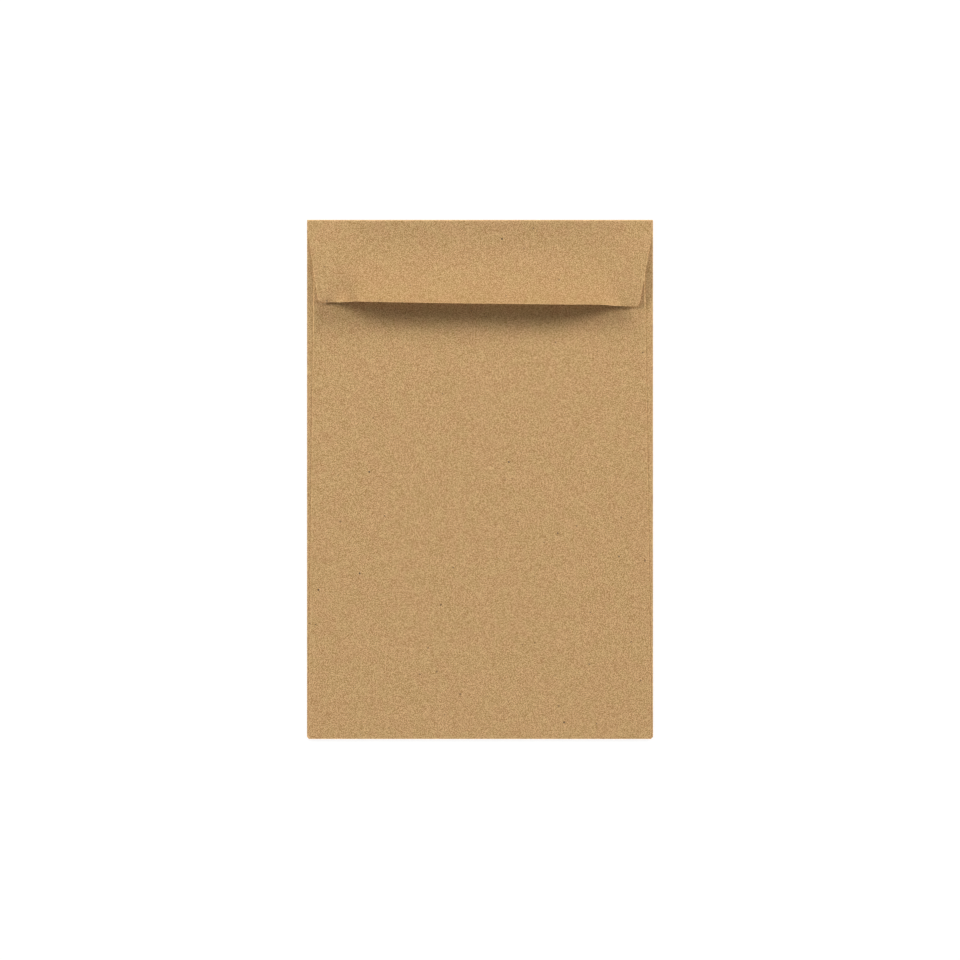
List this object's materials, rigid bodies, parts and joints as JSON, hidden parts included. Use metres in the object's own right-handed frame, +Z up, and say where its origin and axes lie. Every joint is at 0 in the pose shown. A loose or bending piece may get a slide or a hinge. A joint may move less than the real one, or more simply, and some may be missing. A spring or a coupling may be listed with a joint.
{
  "type": "paper envelope",
  "caption": "Open-end kraft paper envelope: a side-seamed pocket folded from one sheet, with a tapered seal flap on its short side, folded down but unsealed.",
  "frame": {"origin": "middle of the rectangle that the envelope covers, on the underside of its front panel, where it rests", "axes": "+X across the envelope, +Y along it towards the seal flap's fold, +Z up out of the back panel"},
  "size_m": [0.1524, 0.2286, 0.0068],
  "materials": {
    "kraft_paper": "uncoated recycled kraft, matte, fine grained"
  },
  "bodies": {
    "root": {"envelope_sheet": "kraft_paper"}
  },
  "joints": []
}
